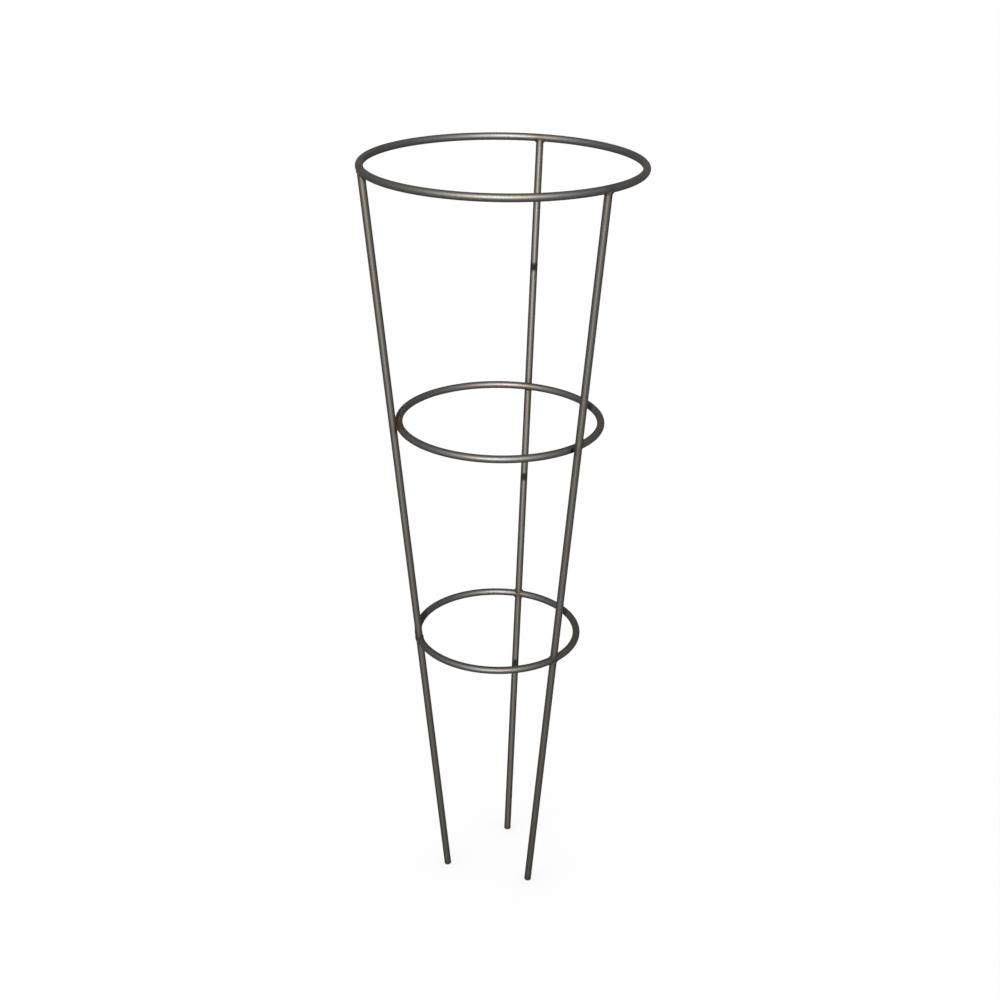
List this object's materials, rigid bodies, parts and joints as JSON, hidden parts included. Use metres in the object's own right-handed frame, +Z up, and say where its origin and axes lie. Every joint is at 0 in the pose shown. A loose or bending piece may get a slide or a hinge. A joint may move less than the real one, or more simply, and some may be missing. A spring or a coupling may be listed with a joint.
{
  "type": "tomato cage",
  "caption": "Welded steel tomato cage: round-bar rings narrowing downwards on straight leaning legs whose plain lower ends push into the soil.",
  "frame": {"origin": "centre of the cage on the ground plane under the stake tips", "axes": "+Z up along the cage's axis, +Y towards the back leg, +X towards the right leg's side"},
  "size_m": [0.3659, 0.3667, 1.067],
  "materials": {
    "ring_bar": "satin",
    "leg_bar": "satin",
    "weld_metal": "satin"
  },
  "bodies": {
    "root": {"top_ring": "ring_bar", "middle_ring": "ring_bar", "lower_ring": "ring_bar", "upper_leg_left": "leg_bar", "upper_leg_right": "leg_bar", "upper_leg_back": "leg_bar", "ground_stake_left": "leg_bar", "ground_stake_right": "leg_bar", "ground_stake_back": "leg_bar", "leg_head_weld_left": "weld_metal", "leg_head_weld_right": "weld_metal", "leg_head_weld_back": "weld_metal", "spot_weld_left": "weld_metal", "spot_weld_right": "weld_metal", "spot_weld_back": "weld_metal", "leg_foot_weld_left": "weld_metal", "leg_foot_weld_right": "weld_metal", "leg_foot_weld_back": "weld_metal", "stake_weld_left": "weld_metal", "stake_weld_right": "weld_metal", "stake_weld_back": "weld_metal"}
  },
  "joints": []
}
